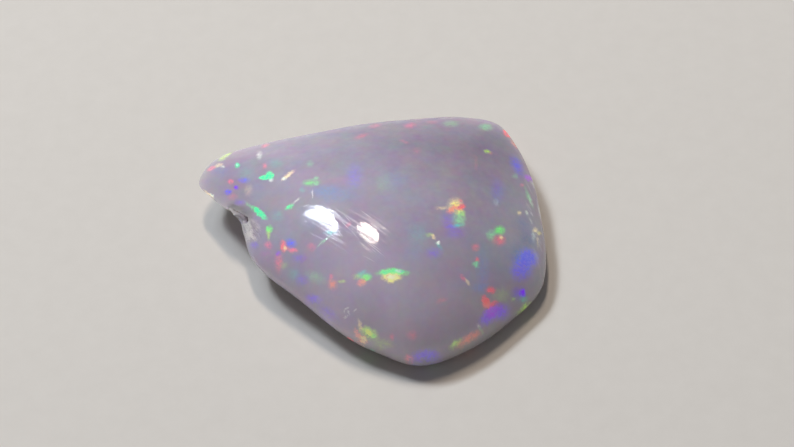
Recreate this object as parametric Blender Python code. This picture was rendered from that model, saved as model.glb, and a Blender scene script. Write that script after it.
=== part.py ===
"""A rubbed opal rough: one natural stone, hand-ground and water-polished all over.

Seen from above it is a rounded triangle with a blunt beak on its -X side. A bite under the beak
makes a notch in the outline. The top is a low dome of a few broad ground faces that run softly
into each other, highest near the front. The underside curves in to a small flat foot.

Units are metres, +Z is up, and the origin is on the ground under the middle of the stone.
"""

import math

import bmesh
import bpy
from mathutils import Vector

MM = 0.001

# The widest line, counter-clockwise seen from above. Each station holds x, y, z, the width of the
# rounded shoulder above it as a share of the way in to the hub, and how far the underside below it
# is cut away: 1 is a full round, 2 a straight slope and 3 a hollow. Lengths here are in mm.
OUTLINE = [
    (-10.1, 2.5, 2.2, 0.14, 1.6),  # tip of the beak
    (-9.3, 1.25, 2.5, 0.05, 2.2),
    (-8.25, 0.05, 2.8, 0.04, 2.4),
    (-7.6, -0.35, 2.45, 0.06, 1.8),  # inner corner of the notch
    (-7.35, -1.3, 2.4, 0.18, 1.1),
    (-6.85, -2.8, 2.3, 0.30, 1.0),
    (-4.2, -5.3, 2.1, 0.42, 1.0),  # the wavy near-left edge
    (-1.55, -7.5, 1.5, 0.48, 1.0),
    (0.1, -8.32, 1.1, 0.52, 1.0),
    (2.6, -9.15, 0.8, 0.56, 1.0),  # the front corner
    (5.6, -7.95, 0.75, 0.56, 1.0),
    (8.2, -5.7, 0.7, 0.54, 1.0),
    (9.6, -4.0, 0.8, 0.52, 1.0),
    (9.95, -2.1, 0.95, 0.52, 1.0),
    (9.75, 0.6, 1.2, 0.52, 1.0),  # the round right-hand side
    (9.3, 3.1, 1.6, 0.52, 1.0),
    (8.4, 5.6, 1.7, 0.52, 1.0),
    (7.3, 7.15, 1.8, 0.52, 1.0),  # the far corner
    (5.1, 7.55, 1.9, 0.52, 1.0),
    (2.3, 7.3, 2.0, 0.52, 1.0),
    (-0.5, 6.9, 2.1, 0.52, 1.0),  # the long far edge
    (-3.5, 6.2, 2.1, 0.48, 1.0),
    (-6.6, 5.4, 2.1, 0.40, 1.0),
    (-9.2, 4.3, 2.1, 0.28, 1.0),
]
STEPS_PER_STATION = 5

# The flat foot, one corner to every second station of the outline: x, y in mm.
FOOT = [
    (-5.2, 1.2),
    (-4.9, -0.4),
    (-3.8, -2.0),
    (-1.7, -4.4),
    (0.9, -6.8),
    (4.9, -7.0),
    (7.8, -4.1),
    (7.6, -0.2),
    (6.2, 2.7),
    (3.8, 3.8),
    (-0.2, 3.4),
    (-3.9, 2.4),
]

# The top bulges over the crest: nearly a ball there, running out to an even slope. On it lie broad
# ground faces: the way each one faces (degrees, 0 is +X and 90 is +Y), its slope (degrees), its
# height at the crest (mm), and how widely it runs into the faces before it (mm).
CREST = (0.0, -3.5)
BULGE_RADIUS = 25.0
BULGE_SLOPE = 0.2
DOME_FACES = [
    (225.0, 5.0, 5.20, 0.0),
    (216.0, 17.2, 5.42, 0.12),
    (20.0, 3.0, 5.45, 0.25),
    (272.0, 11.0, 5.35, 0.3),
    (235.0, 16.0, 5.6, 0.5),
    (318.0, 13.0, 5.6, 0.5),
    (92.0, 4.0, 5.45, 0.3),
    (112.0, 14.0, 6.8, 1.0),
    (10.0, 14.0, 6.7, 1.0),
]

HUB = (0.0, -1.6)
SHOULDER_RINGS = 12
SHOULDER_POWER = 2.1
UNDERSIDE_RINGS = 9


def spline_point(points, position):
    """A closed centripetal Catmull-Rom curve through points, read at a position counted in points."""
    first = int(math.floor(position))
    fraction = position - first
    p0, p1, p2, p3 = (points[(first + k) % len(points)] for k in (-1, 0, 1, 2))
    knots = [0.0]
    for a, b in ((p0, p1), (p1, p2), (p2, p3)):
        knots.append(knots[-1] + math.sqrt(math.dist(a[:2], b[:2])))
    t = knots[1] + fraction * (knots[2] - knots[1])

    def blend(a, b, ta, tb):
        share = (t - ta) / (tb - ta)
        return [u + (v - u) * share for u, v in zip(a, b)]

    a1 = blend(p0, p1, knots[0], knots[1])
    a2 = blend(p1, p2, knots[1], knots[2])
    a3 = blend(p2, p3, knots[2], knots[3])
    b1 = blend(a1, a2, knots[0], knots[2])
    b2 = blend(a2, a3, knots[1], knots[3])
    return blend(b1, b2, knots[1], knots[2])


def soft_min(a, b, width):
    """The lower of two heights, with the crease between them rounded over `width`."""
    overlap = max(width - abs(a - b), 0.0) / width
    return min(a, b) - overlap**3 * width / 6.0


def dome_height(x, y):
    """Height of the dome: the lowest of its ground faces, each run softly into the others."""
    height = None
    for facing, slope, level, width in DOME_FACES:
        turn = math.radians(facing)
        away = (x - CREST[0]) * math.cos(turn) + (y - CREST[1]) * math.sin(turn)
        plane = level - away * math.tan(math.radians(slope))
        height = plane if height is None else soft_min(height, plane, width)
    reach = BULGE_RADIUS * BULGE_SLOPE
    return height - BULGE_SLOPE * (math.hypot(reach, math.dist((x, y), CREST)) - reach)


def top_point(station, inset):
    """A point of the top, a share `inset` of the way in from the widest line to the hub."""
    x, y, girdle, shoulder, _undercut = station
    px = x + (HUB[0] - x) * inset
    py = y + (HUB[1] - y) * inset
    across = min(inset / shoulder, 1.0)
    swell = math.sqrt(1.0 - (1.0 - across) ** SHOULDER_POWER)
    return Vector((px, py, girdle + (dome_height(px, py) - girdle) * swell)) * MM


def underside_point(station, foot, quarter):
    """A point of the underside, on a bow from the widest line in to the foot."""
    angle = quarter * math.pi / 2
    undercut = station[4]
    run = 1.0 - math.cos(angle) ** undercut
    x = station[0] + (foot[0] - station[0]) * run
    y = station[1] + (foot[1] - station[1]) * run
    return Vector((x, y, station[2] * (1.0 - math.sin(angle) ** undercut))) * MM


def join_rings(mesh, lower, upper):
    """Quads between two rings of the same length, facing outward when upper is above lower."""
    for k in range(len(lower)):
        after = (k + 1) % len(lower)
        mesh.faces.new((lower[k], lower[after], upper[after], upper[k]))


def build_stone():
    mesh = bmesh.new()
    around = len(OUTLINE) * STEPS_PER_STATION
    stations = [spline_point(OUTLINE, k / STEPS_PER_STATION) for k in range(around)]
    feet = [spline_point(FOOT, k / around * len(FOOT)) for k in range(around)]

    rings = []
    for level in range(UNDERSIDE_RINGS, 0, -1):
        quarter = level / UNDERSIDE_RINGS
        rings.append([mesh.verts.new(underside_point(s, f, quarter)) for s, f in zip(stations, feet)])
    deepest = max(s[3] for s in stations)
    for level in range(SHOULDER_RINGS + 1):
        inset = deepest * (1.0 - math.cos(level / SHOULDER_RINGS * math.pi / 2))
        rings.append([mesh.verts.new(top_point(s, inset)) for s in stations])
    for lower, upper in zip(rings, rings[1:]):
        join_rings(mesh, lower, upper)
    mesh.faces.new(list(reversed(rings[0])))

    cap_with_grid(mesh, rings[-1], deepest)
    centre_on_origin(mesh)
    data = bpy.data.meshes.new("opal")
    mesh.to_mesh(data)
    mesh.free()
    return data


def cap_with_grid(mesh, ring, edge_inset):
    """Close the top with a square grid of quads pressed into the round hole that `ring` leaves."""
    side = len(ring) // 4
    grid = {}
    for k, vertex in enumerate(ring):
        edge, step = divmod(k, side)
        corner = [(step, 0), (side, step), (side - step, side), (0, side - step)][edge]
        grid[corner] = vertex
    lines = [math.sqrt(2) * math.sin(math.radians(-45 + 90 * k / side)) for k in range(side + 1)]
    for i in range(1, side):
        for j in range(1, side):
            u, v = lines[i], lines[j]
            dx = u * math.sqrt(1 - v * v / 2)
            dy = v * math.sqrt(1 - u * u / 2)
            radius = math.hypot(dx, dy)
            turn = (math.degrees(math.atan2(dy, dx)) + 135.0) % 360.0 / 360.0
            station = spline_point(OUTLINE, turn * len(OUTLINE))
            inset = 1.0 - (1.0 - edge_inset) * radius
            grid[i, j] = mesh.verts.new(top_point(station, inset))
    for i in range(side):
        for j in range(side):
            mesh.faces.new((grid[i, j], grid[i + 1, j], grid[i + 1, j + 1], grid[i, j + 1]))


def centre_on_origin(mesh):
    """Slide the stone along the ground until its box stands centred on the origin."""
    xs = [v.co.x for v in mesh.verts]
    ys = [v.co.y for v in mesh.verts]
    middle = Vector(((min(xs) + max(xs)) / 2, (min(ys) + max(ys)) / 2, 0.0))
    bmesh.ops.translate(mesh, verts=mesh.verts, vec=-middle)


def opal_material():
    material = bpy.data.materials.new("opal")
    material.use_nodes = True
    surface = material.node_tree.nodes["Principled BSDF"]
    surface.inputs["Base Color"].default_value = (0.36, 0.33, 0.43, 1.0)
    surface.inputs["Roughness"].default_value = 0.12
    surface.inputs["Metallic"].default_value = 0.0
    return material


def main():
    for leftover in list(bpy.data.objects):
        bpy.data.objects.remove(leftover)
    data = build_stone()
    data.shade_smooth()
    data.materials.append(opal_material())
    stone = bpy.data.objects.new("opal", data)
    bpy.context.collection.objects.link(stone)


main()
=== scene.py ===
# %% [markdown]
# # A rubbed opal
# A "rub" is a piece of opal rough that a cutter has ground by hand and polished wet, to see where
# its colour lies before it is cut. It is one solid stone: a low milky dome with a blunt beak, and
# a notch where a seam of sandstone once ran in. This lesson takes the plain solid of the stone
# and gives it its finish: the fine shape, the milky body, the play of colour, the scratches of
# the last polish and the crust left in the notch.

# %% Load the stone
import math

import bpy
import numpy as np
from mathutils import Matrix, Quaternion, Vector


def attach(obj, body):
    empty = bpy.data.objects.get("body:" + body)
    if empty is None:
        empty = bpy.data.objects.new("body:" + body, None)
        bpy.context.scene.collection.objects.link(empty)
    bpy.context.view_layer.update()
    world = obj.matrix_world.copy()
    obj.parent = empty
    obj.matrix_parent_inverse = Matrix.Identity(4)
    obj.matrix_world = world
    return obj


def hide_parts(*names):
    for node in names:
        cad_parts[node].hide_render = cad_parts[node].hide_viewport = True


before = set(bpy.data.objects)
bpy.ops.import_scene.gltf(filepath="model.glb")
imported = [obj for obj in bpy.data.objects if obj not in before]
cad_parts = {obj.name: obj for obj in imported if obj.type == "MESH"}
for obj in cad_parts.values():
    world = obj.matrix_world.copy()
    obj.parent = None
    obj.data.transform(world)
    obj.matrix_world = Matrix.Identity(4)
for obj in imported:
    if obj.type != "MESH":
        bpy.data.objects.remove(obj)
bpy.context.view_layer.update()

MM = 0.001

# %% [markdown]
# ## A finer stone
# The solid has flat triangles about half a millimetre across. A polished stone shows every flat
# in its highlights, so the surface has to be much finer. It could be rebuilt by a remesh, but
# that rounds the sharp lip of the notch. Here a copy is welded, its triangles are joined to
# quads, and a Subdivision Surface runs smoothly through them.


# %% Copy the solid and refine it
def select_only(thing):
    """Leave one object selected and active, so that the next operator works on it alone."""
    bpy.ops.object.select_all(action="DESELECT")
    thing.select_set(True)
    bpy.context.view_layer.objects.active = thing


REFINE_STEPS = 2
WELD_DISTANCE = 0.001 * MM
QUAD_ANGLE = math.radians(60.0)

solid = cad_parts["opal"]
stone = solid.copy()
stone.data = solid.data.copy()
stone.name = "opal_stone"
stone.parent = None
bpy.context.collection.objects.link(stone)

select_only(stone)
bpy.ops.object.mode_set(mode="EDIT")
bpy.ops.mesh.select_all(action="SELECT")
bpy.ops.mesh.remove_doubles(threshold=WELD_DISTANCE)
bpy.ops.mesh.tris_convert_to_quads(face_threshold=QUAD_ANGLE, shape_threshold=QUAD_ANGLE)
bpy.ops.object.mode_set(mode="OBJECT")
refine = stone.modifiers.new("refine", "SUBSURF")
refine.levels = REFINE_STEPS
refine.render_levels = REFINE_STEPS
bpy.ops.object.modifier_apply(modifier=refine.name)
bpy.ops.object.shade_smooth()
print("quads after refining:", len(stone.data.polygons))

# %% [markdown]
# ## The notch
# Under the beak a seam of sandstone has weathered out. It leaves a slit under the lip and a pit in the
# inner corner. These are real hollows, so they are pressed into the mesh: points along each hollow are
# picked by their place and moved inward with proportional editing, as a thumb pushes clay. The faces round
# the notch are divided once more first, because the hollows are less than half a millimetre wide. How far
# each point has moved is kept on the mesh as an attribute, and the finish later paints shade where the
# hollows are deep. A second attribute says how much each point faces down.

# %% Press the hollows in
NOTCH = Vector((-7.4, 0.3, 2.8)) * MM
NOTCH_REACH = 1.7 * MM

# Each hollow: the points of its line, the way it goes in, its depth and its half width, in mm.
HOLLOWS = {
    "slit under the lip": (
        [(-8.15, 0.88, 2.84), (-7.85, 0.70, 2.90), (-7.52, 0.50, 2.92), (-7.34, 0.30, 2.92)],
        (0.55, 0.80, -0.10),
        0.50,
        0.16,
    ),
    "pit in the corner": (
        [(-7.36, 0.26, 2.86), (-7.12, 0.06, 2.98)],
        (0.85, 0.45, -0.25),
        0.60,
        0.20,
    ),
    "groove in the crust": (
        [(-7.20, -0.20, 2.80), (-6.95, -0.70, 2.88)],
        (0.90, 0.20, -0.30),
        0.07,
        0.10,
    ),
}
# The points that are picked lie nearer the line than this share of the half width.
CHOSEN_SHARE = 0.35
CRUST_REACH = 0.45 * MM
CRUST_LINE = (Vector((-7.55, 0.35, 2.60)) * MM, Vector((-6.75, -0.95, 2.95)) * MM)
CRUST_LUMPS = 0.035 * MM
DOWN_START = 0.3
DOWN_GAIN = 2.0


def distance_to_line(points, start, end):
    """How far each point lies from the straight line between start and end."""
    start = np.array(start)
    along = np.array(end) - start
    share = np.clip(((points - start) @ along) / (along @ along), 0.0, 1.0)
    return np.linalg.norm(points - (start + share[:, None] * along), axis=1)


def places(thing):
    """The places of all vertices as rows of x, y, z."""
    rows = np.empty(len(thing.data.vertices) * 3)
    thing.data.vertices.foreach_get("co", rows)
    return rows.reshape(-1, 3)


def select_points(thing, chosen):
    """Select exactly the vertices whose entry in chosen is true."""
    thing.data.polygons.foreach_set("select", np.zeros(len(thing.data.polygons), dtype=bool))
    thing.data.edges.foreach_set("select", np.zeros(len(thing.data.edges), dtype=bool))
    thing.data.vertices.foreach_set("select", chosen)


def keep_on_mesh(thing, name, values):
    """Store one number for each vertex, for the finish to read."""
    attribute = thing.data.attributes.new(name, "FLOAT", "POINT")
    attribute.data.foreach_set("value", values.astype(np.float32))


select_only(stone)
bpy.context.tool_settings.mesh_select_mode = (True, False, False)
near_notch = np.linalg.norm(places(stone) - np.array(NOTCH), axis=1) < NOTCH_REACH
select_points(stone, near_notch)
bpy.ops.object.mode_set(mode="EDIT")
bpy.ops.mesh.subdivide(number_cuts=1, smoothness=0.0)
bpy.ops.object.mode_set(mode="OBJECT")

# The crust stands up in tiny lumps, before the hollows go in.
crust_distance = distance_to_line(places(stone), *CRUST_LINE)
select_points(stone, crust_distance < CRUST_REACH)
bpy.ops.object.mode_set(mode="EDIT")
bpy.ops.transform.vertex_random(offset=CRUST_LUMPS, uniform=0.0, normal=1.0, seed=4)
bpy.ops.object.mode_set(mode="OBJECT")

before = places(stone)
for name, (line, inward, depth, half_width) in HOLLOWS.items():
    line = [np.array(point) * MM for point in line]
    away = np.min([distance_to_line(before, *ends) for ends in zip(line, line[1:])], axis=0)
    chosen = away < CHOSEN_SHARE * half_width * MM
    select_points(stone, chosen)
    bpy.ops.object.mode_set(mode="EDIT")
    bpy.ops.transform.translate(
        value=Vector(inward).normalized() * depth * MM,
        use_proportional_edit=True,
        proportional_edit_falloff="SMOOTH",
        proportional_size=half_width * MM,
    )
    bpy.ops.object.mode_set(mode="OBJECT")
    print(name, "moved", int(chosen.sum()), "points")
keep_on_mesh(stone, "hollow", np.linalg.norm(places(stone) - before, axis=1) / MM)

normals = np.empty(len(stone.data.vertices) * 3)
stone.data.vertices.foreach_get("normal", normals)
facing_down = DOWN_START - DOWN_GAIN * normals.reshape(-1, 3)[:, 2]
keep_on_mesh(stone, "underside", np.clip(facing_down, 0.0, 1.0))

# %% [markdown]
# ## Shader maths
# The finish is a set of patterns that are added, multiplied and mixed. Written node by node that
# is hard to read, so one small class wraps an output socket and turns + - * into Math nodes.
# Every other node comes from one method, which sets the node up first and then its inputs. A few
# short methods on top of it make the patterns that come back again and again.


# %% A value that can be added and multiplied
class Value:
    """One output of a shader node."""

    def __init__(self, finish, socket):
        self.finish = finish
        self.socket = socket

    def maths(self, operation, first, second):
        return self.finish.node("ShaderNodeMath", {"operation": operation}, {0: first, 1: second})

    def __add__(self, other):
        return self.maths("ADD", self, other)

    def __radd__(self, other):
        return self.maths("ADD", other, self)

    def __sub__(self, other):
        return self.maths("SUBTRACT", self, other)

    def __rsub__(self, other):
        return self.maths("SUBTRACT", other, self)

    def __mul__(self, other):
        return self.maths("MULTIPLY", self, other)

    def __rmul__(self, other):
        return self.maths("MULTIPLY", other, self)


class Finish:
    """The nodes of a material, or of the sky, while they are being written."""

    def __init__(self, owner):
        self.owner = owner
        owner.use_nodes = True
        self.tree = owner.node_tree
        self.tree.nodes.clear()

    def node(self, kind, settings=None, inputs=None, output=0):
        """Add a node, set it up, link or set its inputs, and hand back one of its outputs."""
        made = self.tree.nodes.new(kind)
        for name, value in (settings or {}).items():
            if name == "stops":
                # The colours of a ramp, each held up to the next one.
                made.color_ramp.interpolation = "CONSTANT"
                while len(made.color_ramp.elements) < len(value):
                    made.color_ramp.elements.new(1.0)
                for stop, (position, colour) in zip(made.color_ramp.elements, value):
                    stop.position = position
                    stop.color = colour
            else:
                setattr(made, name, value)
        for name, value in (inputs or {}).items():
            if isinstance(value, Value):
                self.tree.links.new(value.socket, made.inputs[name])
            else:
                made.inputs[name].default_value = value
        return Value(self, made.outputs[output]) if made.outputs else None

    def noise(self, where, scale, detail=2.0, rough=0.5, output=0):
        """Noise from 0 to 1, or its Color, whose features are about 1 / scale metres across."""
        sizes = {"Vector": where, "Scale": scale, "Detail": detail, "Roughness": rough}
        return self.node("ShaderNodeTexNoise", None, sizes, output)

    def between(self, value, low, high, to_low=0.0, to_high=1.0, shape="SMOOTHSTEP"):
        """Run a value from one range to another, held at the ends. The smooth shape holds by itself."""
        ends = {"Value": value, "From Min": low, "From Max": high, "To Min": to_low, "To Max": to_high}
        settings = {"interpolation_type": shape, "clamp": shape == "LINEAR"}
        return self.node("ShaderNodeMapRange", settings, ends)

    def mix(self, share, first, second):
        """Mix two colours: share 0 gives the first."""
        return self.node("ShaderNodeMix", {"data_type": "RGBA"}, {0: share, 6: first, 7: second}, 2)

    def parts(self, operation, *values, output=0):
        """Maths on each part of colours or places: red, green and blue, or x, y and z."""
        return self.node("ShaderNodeVectorMath", {"operation": operation}, dict(enumerate(values)), output)

    def scale(self, value, factor, step):
        """Multiply each part of a colour or a place by one number and add another."""
        return self.parts("MULTIPLY_ADD", value, [factor] * 3, [step] * 3)

    def attribute(self, name):
        """A number that is kept on the mesh."""
        return self.node("ShaderNodeAttribute", {"attribute_name": name}, None, "Fac")

    def spot(self, where, centre, half, softness, strength=1.0):
        """A mask for a ball in mm: strength inside it, 0 outside, half way at its surface."""
        reach = self.parts("DISTANCE", where, [c * MM for c in centre], output="Value")
        outer, inner = (half * MM * (1.0 + side * softness) for side in (1, -1))
        return self.between(reach, outer, inner, 0.0, strength)

    def patch(self, where, centre, halves, turn, softness, strength=1.0):
        """A mask for an ellipsoid in mm: strength inside it, 0 outside, half way at its surface."""
        turned = self.node(
            "ShaderNodeVectorRotate",
            {"rotation_type": "Z_AXIS"},
            {"Vector": where, "Center": [c * MM for c in centre], "Angle": math.radians(-turn)},
        )
        shrink = [1 / (h * MM) for h in halves]
        shift = [-c / h for c, h in zip(centre, halves)]
        reach = self.parts("LENGTH", self.parts("MULTIPLY_ADD", turned, shrink, shift), output="Value")
        return self.between(reach, 1.0 + softness, 1.0 - softness, 0.0, strength)


# %% [markdown]
# ## The milky body
# Light goes a little way into opal and comes out scattered, which makes the stone look lit from within.
# Subsurface scattering does this; its radius stays the same all over, so it sits on the shader's own
# socket. The body is bluish lavender, with faint cloudy tints of blue and rose all over. Light and shade
# are also painted into its colour: painted light along the near side, on the crest and on the right-hand
# side, painted shade over the far side and the beak, and a warm grey painted shade round the lowest edge.

# %% Body colour
opal = Finish(bpy.data.materials.new("rubbed_opal"))
place = opal.node("ShaderNodeTexCoord", None, None, "Object")

BODY = (0.44, 0.395, 0.50, 1.0)
BODY_BLUE = (0.40, 0.41, 0.51, 1.0)
BODY_ROSE = (0.455, 0.38, 0.485, 1.0)
PAINTED_SHADE_BODY = (0.33, 0.285, 0.36, 1.0)
PAINTED_LIGHT_BODY = (0.505, 0.465, 0.565, 1.0)
NEAR_SIDE_PAINTED_LIGHT = (0.67, 0.58, 0.70, 1.0)
LOW_EDGE_PAINTED_SHADE = (0.42, 0.37, 0.39, 1.0)

# Where shade and light are painted into the body: the centre and the half sizes of each patch in mm, its
# turn in degrees, how soft its edge is and how strongly it shows.
FAR_SIDE_PAINTED_SHADE = ((4.6, 6.6, 3.0), (7.2, 5.2, 9.0), 0, 0.9, 1.0)
BEAK_PAINTED_SHADE = ((-10.0, 2.6, 2.6), (3.2, 3.0, 4.0), 0, 0.9, 0.8)
CREST_PAINTED_LIGHT = ((-2.2, 1.2, 4.0), (4.8, 2.8, 6.0), 0, 1.0, 0.7)
RIGHT_SIDE_PAINTED_LIGHT = ((9.6, -0.8, 2.0), (2.4, 3.6, 4.0), 0, 1.0, 1.0)
# The painted light on the near side grows from the first y to the second, and the painted shade of the low
# edge shows below the first height.
NEAR_LIGHT_FROM, NEAR_LIGHT_TO = -1.5 * MM, -8.0 * MM
LOW_SHADE_FROM, LOW_SHADE_TO, LOW_SHADE_STRENGTH = 1.8 * MM, 0.7 * MM, 0.8
# How fine each cloudy tint is, and how strong.
TINTS = [(750.0, 0.12), (2600.0, 0.09)]

clouds = opal.noise(place, 260.0)
body = opal.mix(opal.between(clouds, 0.52, 0.70), BODY, BODY_BLUE)
body = opal.mix(opal.between(clouds, 0.48, 0.32), body, BODY_ROSE)
# Painted shade: the far side and the beak are darkened in the colour.
painted_shade = opal.patch(place, *FAR_SIDE_PAINTED_SHADE) + opal.patch(place, *BEAK_PAINTED_SHADE)
body = opal.mix(painted_shade, body, PAINTED_SHADE_BODY)
# Painted light: the crest and the right-hand side are lightened in the colour.
body = opal.mix(opal.patch(place, *CREST_PAINTED_LIGHT), body, PAINTED_LIGHT_BODY)
body = opal.mix(opal.patch(place, *RIGHT_SIDE_PAINTED_LIGHT), body, PAINTED_LIGHT_BODY)
# Painted light: the near side, which faces away from the lamps, is lightened in the colour.
depth = opal.node("ShaderNodeSeparateXYZ", None, {"Vector": place}, "Y")
body = opal.mix(opal.between(depth, NEAR_LIGHT_FROM, NEAR_LIGHT_TO), body, NEAR_SIDE_PAINTED_LIGHT)
# Painted shade, tinted warm: the lowest edge is darkened to a warm grey in the colour.
height = opal.node("ShaderNodeSeparateXYZ", None, {"Vector": place}, "Z")
body = opal.mix(opal.between(height, LOW_SHADE_FROM, LOW_SHADE_TO, 0.0, LOW_SHADE_STRENGTH), body, LOW_EDGE_PAINTED_SHADE)
for fineness, tint in TINTS:
    tinted = opal.noise(place, fineness, 2.0, 0.55, "Color")
    body = opal.parts("ADD", body, opal.scale(tinted, tint, -tint / 2))
print("body colour:", len(opal.tree.nodes), "nodes")

# %% [markdown]
# ## The front view
# A stone is known by its own flashes, chips and scratches, and each of them was placed from the front and
# looking well down. Their places stay as they were marked in that view: in steps to the right and down
# from its top left corner, with 17.5 steps to the millimetre. A ray from the eye finds the spot on the
# stone. An oval on a sloping face is longer on the stone than it looks, so it is stretched along the
# slope.

# %% Lay what is seen from the front on the stone
STEPS_PER_MM = 17.5
VIEW_WIDTH = 794.0
VIEW_MIDDLE = (397.0, 223.5)
VIEW_RISE = math.radians(54.0)
VIEW_DISTANCE = 170.0
VIEW_AIM = Vector((1.465, 0.21, 2.5))
# A mark just off the edge slides towards the middle of the view until it meets the stone.
NUDGE = 0.004
MOST_NUDGES = 15
# Where the stone is seen at a flatter slant than this cosine, it is taken as level.
GRAZING = 0.12
LEVEL = Vector((0.0, 0.0, 1.0))
# The least half size of an oval, in mm.
LEAST_HALF = 0.04

right = Vector((1.0, 0.0, 0.0))
up = Vector((0.0, math.sin(VIEW_RISE), math.cos(VIEW_RISE)))
back = Vector((0.0, -math.cos(VIEW_RISE), math.sin(VIEW_RISE)))
eye = VIEW_AIM + back * VIEW_DISTANCE


def view_step(across, rise):
    """A step in the front view, as a step in mm."""
    return (right * across + up * rise) / STEPS_PER_MM


def spot_on_stone(mark):
    """The spot under a mark in the view, in mm, and the way the stone faces there."""
    for nudge in range(MOST_NUDGES):
        x, y = (own + (middle - own) * nudge * NUDGE for own, middle in zip(mark, VIEW_MIDDLE))
        ray = view_step(x - VIEW_MIDDLE[0], VIEW_MIDDLE[1] - y) - back * VIEW_DISTANCE
        found, spot, face, _ = stone.ray_cast(eye * MM, ray.normalized())
        if found:
            return spot / MM, face
    raise ValueError(f"{mark} is off the stone")


def oval_on_stone(mark, half_length, half_width, turn):
    """An oval seen in the view: its spot, and its halves in mm and turn in degrees from above."""
    spot, face = spot_on_stone(mark)
    if face.dot(back) < GRAZING:
        face = LEVEL
    turn = math.radians(turn)
    halves = []
    for half, angle in ((half_length, turn), (half_width, turn + math.pi / 2)):
        step = view_step(half * math.cos(angle), half * math.sin(angle))
        halves.append(step - back * (face.dot(step) / face.dot(back)))
    # The two halves are no longer at right angles. These sums give the oval's own axes.
    (ax, ay), (bx, by) = (half.xy for half in halves)
    xx, xy, yy = ax * ax + bx * bx, ax * ay + bx * by, ay * ay + by * by
    mean, spread = (xx + yy) / 2, math.hypot((xx - yy) / 2, xy)
    longest, shortest = (math.sqrt(max(mean + side * spread, LEAST_HALF**2)) for side in (1, -1))
    return spot, longest, shortest, math.degrees(math.atan2(2 * xy, xx - yy)) / 2


middle_spot, _ = spot_on_stone(VIEW_MIDDLE)
print("the middle of the view lies on the stone at, in mm:", [round(c, 2) for c in middle_spot])

# %% [markdown]
# ## Play of colour
# In precious opal, stacks of tiny silica balls split the light, and each stack shows one pure colour. They
# lie as small flakes in the milky body: some crisp, some veiled by the milk above them. They could be
# scattered by a noise, but here each one on the top is listed: its hue, its place, half length, half width
# and turn as seen from the front, how soft its edge is and how strongly it shows. The coordinates are
# first shaken a little by a noise, so that the ovals get ragged edges.

# %% The hues and the flashes
HUES = {
    "mint": (0.16, 0.98, 0.54),
    "leaf": (0.32, 0.86, 0.34),
    "pale green": (0.44, 0.72, 0.54),
    "lime": (0.64, 0.82, 0.34),
    "yellow": (0.96, 0.86, 0.40),
    "cream": (0.92, 0.76, 0.60),
    "white": (0.88, 0.90, 0.88),
    "coral": (0.92, 0.46, 0.38),
    "red": (0.98, 0.27, 0.32),
    "pink": (0.80, 0.36, 0.48),
    "rose": (0.52, 0.34, 0.52),
    "magenta": (0.60, 0.20, 0.95),
    "teal": (0.26, 0.62, 0.62),
    "sky": (0.30, 0.42, 0.66),
    "steel": (0.22, 0.32, 0.52),
    "blue": (0.25, 0.25, 0.98),
    "violet": (0.36, 0.20, 0.88),
    "deep violet": (0.38, 0.00, 1.30),
}

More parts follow.
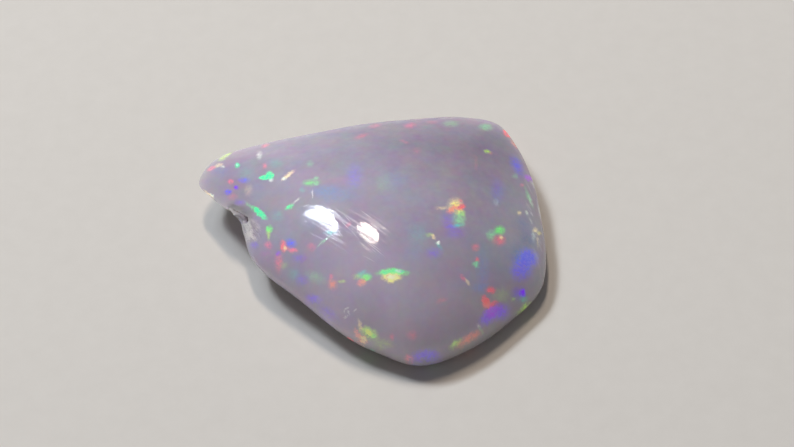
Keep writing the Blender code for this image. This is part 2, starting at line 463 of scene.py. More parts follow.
# Each flash: its hue, centre, half length, half width and turn in degrees as seen from the front,
# how soft its edge is and how strongly it shows.
FLASHES = [
    # on the beak
    ("mint", (264, 177.5), 4, 2, 0, 0.1, 1),
    ("mint", (269.8, 175.6), 3.5, 3.4, 90, 0.1, 1),
    ("white", (271.3, 180), 1.6, 1.2, 0, 0.3, 0.7),
    ("mint", (259, 212.5), 7.6, 2.5, -38, 0.1, 1),
    ("pale green", (249.3, 205.6), 4.2, 0.9, -37, 0.5, 0.7),
    ("leaf", (269.3, 229), 2.8, 2.6, 90, 0.2, 0.95),
    ("lime", (268.6, 233.2), 1.8, 2.2, 0, 0.4, 0.7),
    ("lime", (268.5, 237), 2.2, 1, 90, 0.5, 0.5),
    ("mint", (237.1, 165.1), 1.9, 1.9, 0, 0.3, 0.9),
    ("white", (237.1, 165.1), 0.9, 0.9, 0, 0.3, 0.6),
    ("lime", (225.5, 155.3), 6.4, 2.2, 36, 0.3, 0.8),
    ("pink", (211.5, 168.5), 3.8, 1.9, 25, 0.2, 0.95),
    ("cream", (218.8, 165.2), 3.4, 1.5, 15, 0.3, 0.7),
    ("white", (222.7, 166.5), 1.6, 1.1, 0, 0.3, 0.6),
    ("pink", (230.6, 181.6), 2.1, 2.1, 0, 0.3, 0.85),
    ("violet", (236, 187.5), 1.7, 1.7, 0, 0.2, 1),
    ("blue", (228.1, 191.9), 2.6, 2, 0, 0.4, 0.85),
    ("blue", (243.7, 180), 4, 1.8, 0, 0.7, 0.6),
    ("sky", (220, 171), 6, 3.5, 0, 1, 0.3),
    ("violet", (240, 202.5), 3.5, 2.5, 0, 0.8, 0.45),
    ("pink", (233, 197), 3.5, 2.5, 0, 0.9, 0.35),
    ("cream", (248.7, 190), 3, 4, 0, 0.9, 0.25),
    ("pink", (264.6, 165.9), 1.6, 2, 0, 0.4, 0.8),
    ("white", (259.4, 155), 2, 3, 0, 0.7, 0.5),
    ("pink", (265.4, 145.6), 3.2, 1.5, 22, 0.4, 0.8),
    ("teal", (276, 163), 4.5, 3, 0, 1, 0.25),
    ("teal", (246, 174), 6, 4.5, 0, 1, 0.22),
    ("cream", (208.8, 194.1), 4.6, 1.1, -38, 0.3, 0.9),
    ("white", (211.9, 195.3), 1.8, 1, -38, 0.2, 0.9),
    # left of the crest
    ("cream", (288.1, 175.2), 5.6, 1.5, 40, 0.2, 0.9),
    ("white", (283.8, 178.6), 1.6, 1.2, 0, 0.3, 0.8),
    ("leaf", (311, 182.5), 6.2, 2.5, 5, 0.5, 0.55),
    ("pale green", (316, 178.2), 2, 1.3, 0, 0.4, 0.6),
    ("pale green", (316, 183.8), 2, 1.3, 0, 0.4, 0.6),
    ("pale green", (310, 163.7), 2.6, 2.4, 0, 0.8, 0.35),
    ("teal", (302.5, 190), 2.2, 2, 0, 0.8, 0.35),
    ("mint", (289.4, 207), 3.2, 1.5, 30, 0.3, 0.85),
    ("white", (296, 201), 3.6, 0.8, 38, 0.5, 0.5),
    ("teal", (278, 216), 5, 3.5, 0, 1, 0.3),
    ("rose", (293, 215), 7, 4, 0, 1, 0.3),
    ("sky", (333.5, 193.7), 19, 6.5, -8, 0.35, 0.34),
    ("sky", (324, 189), 10, 5, 0, 0.6, 0.2),
    ("rose", (338.7, 181), 15, 3.4, 5, 0.7, 0.35),
    ("blue", (354, 177), 6, 9, 0, 1, 0.25),
    ("teal", (330, 232.4), 4, 1.4, 0, 0.3, 0.85),
    ("pale green", (323.5, 241.2), 6, 0.8, 42, 0.4, 0.5),
    ("pink", (348.2, 225), 2.8, 1.5, 45, 0.8, 0.4),
    # near the left shoulder
    ("pink", (268.3, 245), 3, 2.7, 0, 0.5, 0.65),
    ("red", (283.5, 246), 4.4, 2.6, 100, 0.25, 0.95),
    ("cream", (284.8, 248), 1.8, 1.1, 100, 0.4, 0.8),
    ("blue", (290.5, 243.3), 4, 3.3, 0, 0.5, 0.7),
    ("pink", (292.2, 249.8), 3.8, 2.1, -10, 0.3, 0.95),
    ("pink", (294.5, 250.3), 1.6, 1.1, 0, 0.4, 0.7),
    ("violet", (278.3, 253.3), 2, 2, 0, 0.4, 0.7),
    ("rose", (266, 253.3), 4, 2, 0, 0.7, 0.45),
    ("violet", (254.4, 245), 3, 2.5, 0, 0.8, 0.45),
    ("pink", (278.9, 262), 6.8, 3, 90, 0.7, 0.7),
    ("lime", (284, 265), 3, 3, 0, 0.9, 0.2),
    ("violet", (299.4, 257.8), 5, 3, 0, 0.8, 0.35),
    ("pink", (311.7, 246.7), 3, 3, 0, 0.7, 0.45),
    ("teal", (294, 274.4), 4.5, 4.5, 0, 1, 0.25),
    ("pale green", (315, 277), 8, 4, -20, 0.9, 0.3),
    ("violet", (301.7, 280), 5, 4, 0, 0.9, 0.3),
    ("violet", (313.3, 298.6), 6, 3.4, 0, 0.7, 0.5),
    ("violet", (328.5, 312.5), 8, 4, -35, 0.9, 0.32),
    # across the front
    ("pink", (331.2, 276.3), 1.5, 1.7, 0, 0.4, 0.65),
    ("coral", (332.4, 284.2), 2.9, 3.8, 0, 0.6, 0.65),
    ("lime", (342.2, 281.4), 3, 1.2, 0, 0.6, 0.5),
    ("teal", (364, 274.6), 5.4, 3.6, 0, 0.4, 0.7),
    ("leaf", (366.4, 277.4), 3.6, 2.6, 0, 0.4, 0.9),
    ("lime", (356.7, 276.7), 3, 2, 0, 0.7, 0.4),
    ("coral", (362.2, 282), 3.4, 2.6, 20, 0.45, 0.85),
    ("leaf", (392.6, 272.3), 11.6, 2.7, 0, 0.2, 1),
    ("mint", (394, 271.5), 7.5, 1.8, 0, 0.4, 0.8),
    ("yellow", (391.5, 276.7), 7.2, 3.2, 0, 0.25, 1),
    ("yellow", (391.2, 280.4), 2.6, 1.8, 0, 0.3, 1),
    ("coral", (387, 277.2), 1.2, 1, 0, 0.4, 0.6),
    ("cream", (394.5, 275), 3.6, 1, 0, 0.4, 0.7),
    ("white", (398.2, 271), 2.2, 1.2, 0, 0.3, 0.85),
    ("white", (391.3, 277.2), 3.6, 1.6, -10, 0.4, 0.6),
    ("mint", (385, 272.4), 2.4, 1.1, 0, 0.3, 0.7),
    ("sky", (402, 271.3), 2.2, 1.1, 0, 0.5, 0.6),
    ("lime", (369, 332.6), 6.4, 3.3, -32, 0.4, 1),
    ("yellow", (370, 333.4), 3.4, 1.4, -32, 0.4, 0.8),
    ("leaf", (373, 335.4), 2.4, 1.2, -32, 0.5, 0.6),
    ("cream", (360, 325), 4.6, 1.3, -75, 0.4, 0.7),
    ("coral", (357.5, 333), 4.2, 1.4, -60, 0.4, 0.75),
    ("coral", (361.6, 338), 4.4, 1.6, -30, 0.4, 0.7),
    ("cream", (363.5, 339.3), 2.6, 0.9, -28, 0.4, 0.8),
    ("pink", (391.7, 336.7), 1.8, 2.4, 0, 0.6, 0.45),
    ("lime", (384, 343), 7, 3, 0, 0.9, 0.25),
    ("pink", (411.9, 335.6), 3.6, 5, 0, 0.8, 0.4),
    ("violet", (425.6, 354.5), 10, 3.8, 0, 0.6, 0.8),
    ("pink", (409.3, 357.8), 3.2, 2, 0, 0.6, 0.7),
    ("lime", (455.6, 343.3), 5.2, 2, 40, 0.4, 0.65),
    ("coral", (469.4, 337.8), 9.5, 2.7, 32, 0.4, 0.65),
    ("white", (478.9, 326.1), 2.2, 1.2, -60, 0.6, 0.45),
    ("pale green", (481.5, 330.5), 3.4, 1, -60, 0.6, 0.35),
    # the cluster right of the middle
    ("cream", (455.5, 205), 5.6, 5.2, 0, 0.6, 0.7),
    ("yellow", (455.2, 204.4), 3, 2, 0, 0.4, 0.8),
    ("coral", (452.3, 209.2), 4.6, 2.4, 35, 0.3, 0.9),
    ("coral", (455, 207.5), 2.4, 1.4, 0, 0.4, 0.9),
    ("red", (461.2, 207.4), 3.4, 2.2, 25, 0.25, 0.9),
    ("pink", (460.6, 201), 1.5, 1.4, 0, 0.3, 0.7),
    ("yellow", (458.5, 212), 2.6, 1.4, 40, 0.3, 0.9),
    ("lime", (461.9, 214), 2.4, 2.8, 0, 0.5, 0.6),
    ("pale green", (459, 219), 5, 6, 0, 0.6, 0.75),
    ("teal", (457.5, 225.2), 4.2, 1.4, 10, 0.3, 0.9),
    ("violet", (448, 220), 5, 5.5, 0, 0.9, 0.3),
    ("blue", (451.2, 226.9), 4, 2, 0, 0.6, 0.33),
    ("violet", (455, 232.8), 7, 4, 0, 0.9, 0.3),
    ("cream", (442.5, 208), 4.6, 1.2, 0, 0.6, 0.5),
    ("cream", (433.5, 236.6), 2.1, 1.2, -65, 0.1, 1),
    ("white", (438, 242.8), 1.6, 1.5, 0, 0.1, 1),
    ("lime", (429.4, 235), 2.5, 1.6, 0, 0.6, 0.4),
    ("teal", (439, 246.2), 3, 1.3, -50, 0.6, 0.4),
    ("teal", (419, 235), 8, 7, 0, 1, 0.22),
    ("violet", (434, 252.5), 5.5, 4, 0, 0.8, 0.38),
    ("sky", (415, 252), 7, 6, 0, 1, 0.2),
    # the right-hand side
    ("leaf", (499.7, 230.2), 4.3, 3.5, 0, 0.35, 0.75),
    ("pale green", (491.2, 235.2), 3.7, 3.9, 0, 0.5, 0.6),
    ("red", (499.4, 240.2), 4.4, 3.6, 0, 0.8, 0.52),
    ("cream", (501, 237.2), 1.4, 1.4, 0, 0.3, 0.85),
    ("pink", (475.6, 247.5), 2.8, 2.8, 0, 0.6, 0.65),
    ("red", (477.4, 259.7), 1.9, 1.7, 0, 0.4, 0.7),
    ("pale green", (476.1, 264.1), 2.9, 2.5, 0, 0.2, 0.9),
    ("pink", (462.8, 277.8), 3, 1.5, -50, 0.5, 0.55),
    ("cream", (467.2, 281.7), 3.4, 1, -60, 0.3, 0.6),
    ("pink", (441.7, 300.5), 4, 1.6, 20, 0.6, 0.35),
    ("sky", (482.8, 271.7), 16, 5, 90, 0.9, 0.38),
    ("sky", (480.5, 288), 6.5, 3.3, 0, 0.6, 0.55),
    ("steel", (526.7, 239.5), 8.5, 8, 0, 0.9, 0.5),
    ("blue", (526.5, 258.5), 9.5, 7.5, 0, 0.5, 0.95),
    ("steel", (515.5, 254), 6, 7, 0, 0.7, 0.5),
    ("blue", (521.5, 270), 8, 7, 0, 0.7, 0.7),
    ("steel", (523.7, 222), 7, 6, 0, 0.9, 0.35),
    ("deep violet", (522.2, 292.8), 2.8, 3.2, 0, 0.05, 1),
    ("violet", (518.5, 293), 5, 4.5, 0, 0.9, 0.45),
    ("teal", (523.3, 299), 3, 2.4, 0, 0.5, 0.6),
    ("lime", (524.4, 308), 5.5, 2.2, 42, 0.4, 0.65),
    ("lime", (513.3, 298.9), 1.8, 1.5, 0, 0.5, 0.4),
    ("lime", (501, 295), 7, 6, 0, 1, 0.2),
    ("red", (490.4, 290), 3.4, 2.7, 0, 0.4, 0.8),
    ("red", (485.8, 301.4), 5.2, 2.8, -60, 0.35, 0.9),
    ("coral", (488.3, 305.5), 3.6, 2.6, 0, 0.6, 0.7),
    ("red", (493.5, 304.5), 3.6, 1.9, 30, 0.5, 0.7),
    ("violet", (488, 317), 6.5, 4.2, 40, 0.6, 0.9),
    ("magenta", (494.5, 311.5), 7.5, 5, 20, 0.6, 0.9),
    ("violet", (501.5, 312), 6, 5.5, 0, 0.8, 0.6),
    # the far edge and the weathered right edge
    ("pink", (361.2, 136.4), 5, 1.8, 20, 0.7, 0.43),
    ("pink", (375, 125.8), 4.4, 1.7, 10, 0.7, 0.37),
    ("pink", (410, 125.4), 4.5, 2.2, 10, 0.6, 0.46),
    ("pink", (404.4, 141.6), 3.6, 1.3, -20, 0.6, 0.37),
    ("pink", (416.9, 150.6), 3, 2.4, 0, 1, 0.22),
    ("pink", (432.5, 122.2), 4, 1.4, 0, 1, 0.22),
    ("pale green", (451, 123.8), 6, 2.8, 0, 0.9, 0.3),
    ("pale green", (485.6, 127), 5.4, 2.8, 0, 0.6, 0.55),
    ("red", (507.5, 133.2), 5, 2.1, -40, 0.2, 0.95),
    ("coral", (517, 142.5), 4.5, 1.4, -48, 0.5, 0.6),
    ("lime", (487.3, 151.5), 2.8, 1.5, -20, 0.3, 0.75),
    ("coral", (490.6, 153), 1.6, 1.2, 0, 0.7, 0.31),
    ("pink", (476, 163.7), 5, 1.5, 90, 1, 0.22),
    ("blue", (516.9, 165.5), 8, 4, 115, 0.8, 0.48),
    ("magenta", (528.7, 178), 4.2, 2.2, -30, 0.4, 0.65),
    ("pale green", (515, 176), 2.6, 2, 0, 0.7, 0.35),
    ("pink", (521.9, 185.2), 1.8, 1.4, 0, 0.5, 0.5),
    ("pale green", (529, 197.5), 7.5, 1.3, -70, 0.5, 0.6),
    ("white", (534, 185.5), 5.5, 0.7, -62, 0.4, 0.35),
    ("white", (540.6, 211), 5.5, 0.7, -80, 0.4, 0.4),
    ("white", (526.9, 212.7), 1.7, 1.2, -60, 0.4, 0.5),
    ("white", (530.8, 220.5), 3, 0.8, -62, 0.4, 0.35),
    ("cream", (535, 230.2), 2.3, 1.6, 0, 0.2, 0.8),
    ("yellow", (539.2, 233.2), 1.6, 1.6, 0, 0.4, 0.55),
    ("cream", (537.6, 241.5), 4.5, 0.8, -88, 0.5, 0.4),
    ("white", (533.5, 236.5), 1.5, 3.5, 0, 0.5, 0.35),
    ("cream", (519.6, 213), 1.6, 1.5, 0, 0.4, 0.7),
    ("white", (496, 202.5), 1.8, 2.6, 0, 0.9, 0.25),
    ("blue", (497.5, 190), 5, 9, 0, 1, 0.2),
    ("sky", (396, 177.5), 8, 9, 0, 1, 0.2),
    ("pale green", (383, 182.5), 5, 9, 0, 1, 0.18),
]

# %% Lay the flashes over the body
# How far the noise shakes the edges and how far they are blurred, in mm.
FLASH_RAGGED = 0.13
FLASH_BLUR = 0.07
FLASH_SPREAD = 1.10
# A flash reaches up and down by this share of its half length and this many mm more.
FLASH_DEEP = 1.4
FLASH_DEEPER = 0.2
NEARLY_ROUND = 1.12

shake = opal.noise(place, 4500.0, 3.0, 0.65, "Color")
ragged_place = opal.parts("ADD", place, opal.scale(shake, 2 * FLASH_RAGGED * MM, -FLASH_RAGGED * MM))
glitter = opal.noise(place, 6000.0, 2.0, 0.6)
sparkle = opal.between(glitter, 0.30, 0.62, 0.5, 1.15)

flashes = BODY
for hue, mark, half_length, half_width, turn, softness, strength in FLASHES:
    spot, longest, shortest, turn = oval_on_stone(mark, half_length, half_width, turn)
    longest, shortest = longest * FLASH_SPREAD, shortest * FLASH_SPREAD
    edge = min(1.0, softness + FLASH_BLUR / shortest)
    if longest < NEARLY_ROUND * shortest:
        mask = opal.spot(ragged_place, spot, (longest + shortest) / 2, edge, strength)
    else:
        halves = (longest, shortest, FLASH_DEEP * longest + FLASH_DEEPER)
        mask = opal.patch(ragged_place, spot, halves, turn, edge, strength)
    flashes = opal.mix(mask, flashes, (*HUES[hue], 1.0))
print("flashes placed:", len(FLASHES))

# %% [markdown]
# ## Pinfire on the underside
# The same colours go on round the edge and underneath, as small scattered points that cutters call
# pinfire. There they are scattered by a Voronoi texture, which gives every point a cell of its own
# with its own random numbers: one chooses which cells light up and one chooses the hue.

# %% Pinfire
# Each hue, with the share of the cells at which it starts.
PINFIRE = [
    (0.00, (0.08, 0.80, 0.30, 1.0)),
    (0.22, (0.17, 0.20, 0.84, 1.0)),
    (0.42, (0.90, 0.16, 0.16, 1.0)),
    (0.58, (0.18, 0.62, 0.55, 1.0)),
    (0.76, (0.86, 0.74, 0.36, 1.0)),
    (0.90, (0.30, 0.14, 0.74, 1.0)),
]
PINFIRE_SCALE = 1100.0
PINFIRE_STRENGTH = 0.8
# How far from its middle a point is gone and how far it is full, as shares of a cell, and the
# chances at which a cell starts to show and at which it is fully lit.
POINT_REACH = (0.34, 0.12)
LIT_CHANCE = (0.62, 0.72)

cells = {"Vector": ragged_place, "Scale": PINFIRE_SCALE, "Randomness": 1.0}
cell_reach = opal.node("ShaderNodeTexVoronoi", None, cells, "Distance")
cell_colour = opal.node("ShaderNodeTexVoronoi", None, cells, "Color")
chance = opal.node("ShaderNodeSeparateColor", None, {"Color": cell_colour}, "Red")
choice = opal.node("ShaderNodeSeparateColor", None, {"Color": cell_colour}, "Green")
pin_hue = opal.node("ShaderNodeValToRGB", {"stops": PINFIRE}, {"Fac": choice})
pin = opal.between(cell_reach, *POINT_REACH) * opal.between(chance, *LIT_CHANCE)
pin = pin * opal.attribute("underside")
flashes = opal.mix(pin * PINFIRE_STRENGTH, flashes, pin_hue)

# %% Add the play of colour to the body
BRIGHTEST = (0.95, 0.95, 0.95)
DARKEST = (0.02, 0.02, 0.02)

# What the flashes add to the body and take from it.
play = opal.parts("MULTIPLY", opal.parts("SUBTRACT", flashes, BODY[:3]), sparkle)
colour = opal.parts("MINIMUM", opal.parts("ADD", body, play), BRIGHTEST)
colour = opal.parts("MAXIMUM", colour, DARKEST)
print("with the play of colour:", len(opal.tree.nodes), "nodes")

# %% [markdown]
# ## The crust in the notch
# Where the seam was, a skin of pale sandstone and clay still clings, dull and whitish, and the bottom of
# the slit and the pit are darkened with painted shade. It hides the opal, so it is laid over the colour,
# and it is rough where the opal is polished. A thinner skin lies along the right-hand edge, and a few
# white chips from grinding lie near the front. Left of the crest a small crack is painted white as a glint
# of the lamps.

# %% Crust, chips, a painted glint and painted shade
CRUST = (0.84, 0.75, 0.74, 1.0)
CRUST_GREY = (0.44, 0.38, 0.43, 1.0)
HOLLOW_SHADE_COLOUR = (0.015, 0.012, 0.012, 1.0)
WHITE_OF_CHIPS_AND_GLINTS = (0.84, 0.80, 0.84, 1.0)

# White chips and one painted glint off a small crack: centre, half length, half width and turn in degrees,
# as seen from the front.
CHIPS_AND_CRACK_GLINT = [
    ((346.6, 308.3), 2.4, 0.9, 40),
    ((348.6, 312.8), 2.8, 1.0, -70),
    ((345.6, 317.3), 2.8, 1.1, 42),
    ((344.6, 311.6), 2.2, 0.7, 80),
    ((355.1, 309.9), 2.8, 1.0, 55),
    # This last mark is a painted glint: a small crack left of the crest, painted white where it catches
    # the lamps.
    ((312.5, 193.7), 4.0, 0.5, 88),
]
CHIP_EDGE = 0.5
CHIP_DEEP = 2.0

# The crust of the notch and the thin skin on the right-hand edge: the centre and the half sizes of
# each patch in mm, its turn in degrees and how soft its edge is.
CRUST_PATCH = ((-6.82, -0.62, 2.88), (0.86, 0.44, 0.9), -57, 0.35)
SKIN_PATCH = ((9.30, 0.60, 1.8), (2.6, 0.30, 1.6), 96, 0.6)
CRUST_GRAIN = 3300.0
CRUST_GRAIN_TURN = math.radians(-58.0)
CRUST_GRAIN_STRETCH = (4.0, 1.0, 1.6)
# The depths of a hollow, in mm, at which the painted shade starts to show and at which it covers the
# stone.
HOLLOW_SHADE_DEPTHS = (0.15, 0.30)

streaky_place = opal.node(
    "ShaderNodeMapping",
    {"vector_type": "TEXTURE"},
    {"Vector": place, "Rotation": (0.0, 0.0, CRUST_GRAIN_TURN), "Scale": CRUST_GRAIN_STRETCH},
)
crust_noise = opal.noise(streaky_place, CRUST_GRAIN, 3.0, 0.6)
crust = opal.patch(ragged_place, *CRUST_PATCH) * opal.between(crust_noise, 0.30, 0.46, 0.45, 1.0)
skin = opal.patch(ragged_place, *SKIN_PATCH) * opal.between(crust_noise, 0.50, 0.62)
chips = None
for mark, half_length, half_width, turn in CHIPS_AND_CRACK_GLINT:
    spot, longest, shortest, turn = oval_on_stone(mark, half_length, half_width, turn)
    white_mark = opal.patch(ragged_place, spot, (longest, shortest, CHIP_DEEP * longest), turn, CHIP_EDGE)
    chips = white_mark if chips is None else chips.maths("MAXIMUM", chips, white_mark)
# Painted shade: the deep parts of the hollows are darkened nearly to black.
hollow_shade = opal.between(opal.attribute("hollow"), *HOLLOW_SHADE_DEPTHS)

crust_colour = opal.mix(opal.between(crust_noise, 0.42, 0.60), CRUST_GREY, CRUST)
for mask, strength, layer in (
    (skin, 0.4, WHITE_OF_CHIPS_AND_GLINTS),
    (chips, 0.85, WHITE_OF_CHIPS_AND_GLINTS),
    (crust, 0.9, crust_colour),
    (hollow_shade, 0.95, HOLLOW_SHADE_COLOUR),
):
    colour = opal.mix(mask * strength, colour, layer)
covered = opal.between(crust + hollow_shade, 0.0, 1.0, shape="LINEAR")
print("white chips:", len(CHIPS_AND_CRACK_GLINT))

# %% [markdown]
# ## The polish and its scratches
# A hand polish leaves fine parallel scratches. They run one way, so a noise is stretched along that way
# until it becomes streaks. Each streak is rougher than the polish round it, so beside the highlights it
# catches the lamps as a fine bright line, and elsewhere it hardly shows. The deepest scratches, round the
# crest, are laid one by one; they are rougher too, and are painted whitish all through as a painted glint
# of the lamps. A bump adds the lumps of the crust.

# %% Scratches
SCRATCH_TURN = -41.0
SCRATCH_GRAIN = 8500.0
SCRATCH_STRETCH = (22.0, 1.0, 3.0)
# The part of the crest that is scratched most, its centre and half sizes in mm, and how strongly
# the scratches show elsewhere.
SCRATCHED_PATCH = ((-0.7, -2.4, 5.1), (2.6, 1.9, 3.0))
SCRATCHED_ELSEWHERE = 0.06
GROOVE_DEPTH = 0.0012 * MM
LUMP_DEPTH = 0.10 * MM
LUMP_STRENGTH = 0.8
DEEP_HALF_WIDTH = 0.02
DEEP_REACH = 1.0
DEEP_GAIN = 1.3

# Deep scratches, each painted whitish as a glint: from one mark to another in the front view, and how
# strongly each one shows.
DEEP_SCRATCHES_AND_GLINTS = [
    ((361.0, 210.6), (372.5, 218.8), 0.42),
    ((345.0, 215.6), (350.5, 222.0), 0.34),
    ((341.3, 221.2), (350.0, 230.0), 0.40),
    ((350.0, 229.0), (358.5, 239.0), 0.26),
    ((360.3, 236.2), (380.5, 250.5), 0.50),
    ((366.0, 241.5), (383.0, 255.3), 0.48),
    ((372.0, 249.0), (376.0, 252.5), 0.30),
    ((363.5, 255.8), (374.0, 261.5), 0.34),
    ((357.0, 231.0), (362.0, 236.5), 0.36),
    ((338.0, 230.0), (340.0, 233.0), 0.45),
    ((340.0, 233.0), (342.5, 236.5), 0.35),
    ((318.0, 246.0), (322.5, 241.5), 0.30),
    ((303.5, 206.5), (309.0, 204.5), 0.35),
]

along_scratches = opal.node(
    "ShaderNodeMapping",
    {"vector_type": "TEXTURE"},
    {"Vector": place, "Rotation": (0.0, 0.0, math.radians(SCRATCH_TURN)), "Scale": SCRATCH_STRETCH},
)
streaks = opal.noise(along_scratches, SCRATCH_GRAIN, 1.0)
scratched = opal.patch(place, *SCRATCHED_PATCH, SCRATCH_TURN, 0.9)
grooves = opal.between(streaks, 0.54, 0.62) * opal.between(scratched, 0.0, 1.0, SCRATCHED_ELSEWHERE)
deep = None
for *marks, strength in DEEP_SCRATCHES_AND_GLINTS:
    start, end = (spot_on_stone(mark)[0] for mark in marks)
    run = (end - start).xy
    halves = (run.length / 2, DEEP_HALF_WIDTH, DEEP_REACH)
    turn = math.degrees(math.atan2(run.y, run.x))
    scratch_and_glint = opal.patch(place, (start + end) / 2, halves, turn, 0.5, DEEP_GAIN * strength)
    deep = scratch_and_glint if deep is None else deep + scratch_and_glint
# Painted glint: the deep scratches are painted whitish where they catch the lamps; their extra roughness
# below is real.
colour = opal.mix(deep, colour, WHITE_OF_CHIPS_AND_GLINTS)

# %% Bumps
fine_bump = opal.node(
    "ShaderNodeBump", None, {"Strength": 1.0, "Distance": GROOVE_DEPTH, "Height": 1.0 - grooves}
)
crust_bump = opal.node(
    "ShaderNodeBump",
    None,
    {
        "Strength": LUMP_STRENGTH,
        "Distance": LUMP_DEPTH,
        "Height": crust * crust_noise,
        "Normal": fine_bump,
    },
)
print("deep scratches:", len(DEEP_SCRATCHES_AND_GLINTS))

# %% [markdown]
# ## Put the finish together
# Only what changes over the surface is linked. What is the same all over is set on the shader's own
# sockets. A flake throws back more light of its own hue than a painted spot of that hue could, so what
# each flash has more of than the body is also given off as emission: painted light that stands in for the
# light the flakes throw back.

# %% The opal shader
OPAL_IOR = 1.45
MILK_SCATTER = 6.0 * MM
MILK_SCATTER_COLOUR = (1.0, 0.9, 1.0)
POLISH = 0.045
CRUST_ROUGH = 0.8
# How much rougher than the polish each mark is.
GROOVE_ROUGH = 0.24
DEEP_ROUGH = 0.5
CHIP_ROUGH = 0.4
SKIN_ROUGH = 0.25
GLOW = 0.6

roughness = opal.between(covered, 0.0, 1.0, POLISH, CRUST_ROUGH, "LINEAR")
roughness = roughness + grooves * GROOVE_ROUGH + deep * DEEP_ROUGH
roughness = roughness + chips * CHIP_ROUGH + skin * SKIN_ROUGH
# Painted light: the flashes glow by emission, though the stone is no lamp.
glow = opal.parts("MAXIMUM", play, (0.0, 0.0, 0.0))
glow = opal.parts("MULTIPLY", glow, 1.0 - covered)
surface = opal.node(
    "ShaderNodeBsdfPrincipled",
    None,
    {
        "Base Color": colour,
        "Roughness": roughness,
        "Normal": crust_bump,
        "IOR": OPAL_IOR,
        "Subsurface Weight": 1.0,
        "Subsurface Radius": MILK_SCATTER_COLOUR,
        "Subsurface Scale": MILK_SCATTER,
        "Emission Color": glow,
        "Emission Strength": GLOW,
    },
)
opal.node("ShaderNodeOutputMaterial", None, {"Surface": surface})
stone.data.materials.clear()
stone.data.materials.append(opal.owner)
print("opal finish:", len(opal.tree.nodes), "nodes")

# %% Put the finished stone in the place of the solid
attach(stone, "root")
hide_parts("opal")

# %% [markdown]
# ## Floor, lamps and sky
# A gem is shown best by small lamps, which give a polished dome its crisp window-like highlights.
# A square soft box with a narrow side pane stands behind and to the left, cool as a window, and a
# warm oval one stands behind. A far lamp lights the whole floor evenly from the window's side, so
# the shadows fall together. The sky is dim above and pale low down, like the walls of a light tent.

# %% The floor
FLOOR_DARK = (0.74, 0.70, 0.65, 1.0)
FLOOR_LIGHT = (0.79, 0.75, 0.70, 1.0)
FLOOR_SIDE = 2.0
FLOOR_GRAIN = 900.0
FLOOR_ROUGH = 0.9

bpy.ops.object.select_all(action="DESELECT")
bpy.ops.mesh.primitive_plane_add(size=FLOOR_SIDE, location=(0.0, 0.0, 0.0))
floor = bpy.context.active_object
floor.name = "floor"
paper = Finish(bpy.data.materials.new("pale_paper"))
paper_place = paper.node("ShaderNodeTexCoord", None, None, "Object")
paper_colour = paper.mix(paper.noise(paper_place, FLOOR_GRAIN, 3.0, 0.6), FLOOR_DARK, FLOOR_LIGHT)
paper_looks = {"Base Color": paper_colour, "Roughness": FLOOR_ROUGH}
paper_surface = paper.node("ShaderNodeBsdfPrincipled", None, paper_looks)
paper.node("ShaderNodeOutputMaterial", None, {"Surface": paper_surface})
floor.data.materials.append(paper.owner)
print("floor side:", FLOOR_SIDE, "m")

# %% The lamps
LAMP_DISTANCE = 0.30
CREST = Vector((0.1, -1.8, 5.0)) * MM
WARM_LIGHT = (1.0, 0.86, 0.72)
COOL_LIGHT = (0.80, 0.90, 1.0)
EVEN_LIGHT = (0.86, 0.93, 1.0)
WARM_DIRECTION = (-0.101, 0.481, 0.870)
COOL_DIRECTION = (-0.528, 0.405, 0.751)
PANE_DIRECTION = (-0.385, 0.526, 0.766)
EVEN_DIRECTION = (-0.461, 0.451, 0.763)
EVEN_ANGLE = math.radians(7.5)


def add_lamp(name, kind, towards, turn, power, colour):
    """A lamp that shines on the crest of the stone from the given direction."""
    lamp = bpy.data.lights.new(name, kind)
    lamp.energy = power
    lamp.color = colour
    stand = bpy.data.objects.new(name, lamp)
    bpy.context.collection.objects.link(stand)
    stand.location = CREST + Vector(towards).normalized() * LAMP_DISTANCE
    facing = (CREST - stand.location).to_track_quat("-Z", "Y")
    stand.rotation_euler = (facing @ Quaternion((0.0, 0.0, 1.0), math.radians(turn))).to_euler()
    return lamp


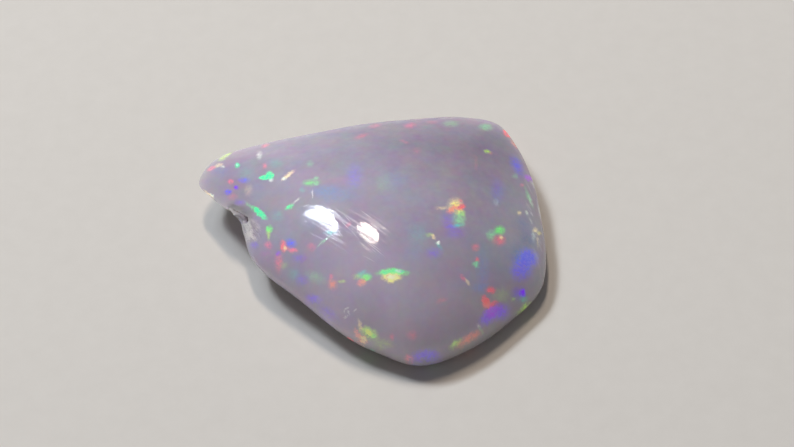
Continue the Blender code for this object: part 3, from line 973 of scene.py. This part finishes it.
warm = add_lamp("warm lamp", "AREA", WARM_DIRECTION, -81, 0.30, WARM_LIGHT)
warm.shape = "ELLIPSE"
warm.size, warm.size_y = 0.075, 0.032
cool = add_lamp("cool lamp", "AREA", COOL_DIRECTION, 73, 0.17, COOL_LIGHT)
cool.shape = "RECTANGLE"
cool.size, cool.size_y = 0.040, 0.034
pane = add_lamp("cool side pane", "AREA", PANE_DIRECTION, 82, 0.18, COOL_LIGHT)
pane.shape = "RECTANGLE"
pane.size, pane.size_y = 0.018, 0.078
even = add_lamp("even light", "SUN", EVEN_DIRECTION, 0, 0.8, EVEN_LIGHT)
even.angle = EVEN_ANGLE
print("lamps:", [lamp.name for lamp in (warm, cool, pane, even)])

# %% The sky
SKY_ABOVE = 0.11
SKY_LOW = 0.55
SKY_TOP_OF_WALLS = 0.30
SKY_COLOUR = (0.92, 0.94, 1.0, 1.0)

sky = Finish(bpy.data.worlds.new("pale sky"))
sky_direction = sky.node("ShaderNodeTexCoord", None, None, "Generated")
sky_height = sky.node("ShaderNodeSeparateXYZ", None, {"Vector": sky_direction}, "Z")
sky_strength = sky.between(sky_height, SKY_TOP_OF_WALLS, 0.0, SKY_ABOVE, SKY_LOW)
sky_looks = {"Color": SKY_COLOUR, "Strength": sky_strength}
sky_light = sky.node("ShaderNodeBackground", None, sky_looks)
sky.node("ShaderNodeOutputWorld", None, {"Surface": sky_light})
bpy.context.scene.world = sky.owner
bpy.context.scene.view_settings.view_transform = "Standard"

# %% [markdown]
# ## The camera
# The camera stands at the eye of the front view and is level from side to side, so the finished
# picture shows the stone from the angle that its flashes were placed from.

# %% The camera
camera = bpy.data.cameras.new("camera")
camera.sensor_width = 36.0
camera.lens = camera.sensor_width * VIEW_DISTANCE / (VIEW_WIDTH / STEPS_PER_MM)
camera.clip_start = 0.01
camera.clip_end = 10.0
tripod = bpy.data.objects.new("camera", camera)
bpy.context.collection.objects.link(tripod)
tripod.location = eye * MM
tripod.rotation_euler = (-back).to_track_quat("-Z", "Y").to_euler()
bpy.context.scene.camera = tripod
print("lens:", round(camera.lens, 1), "mm")
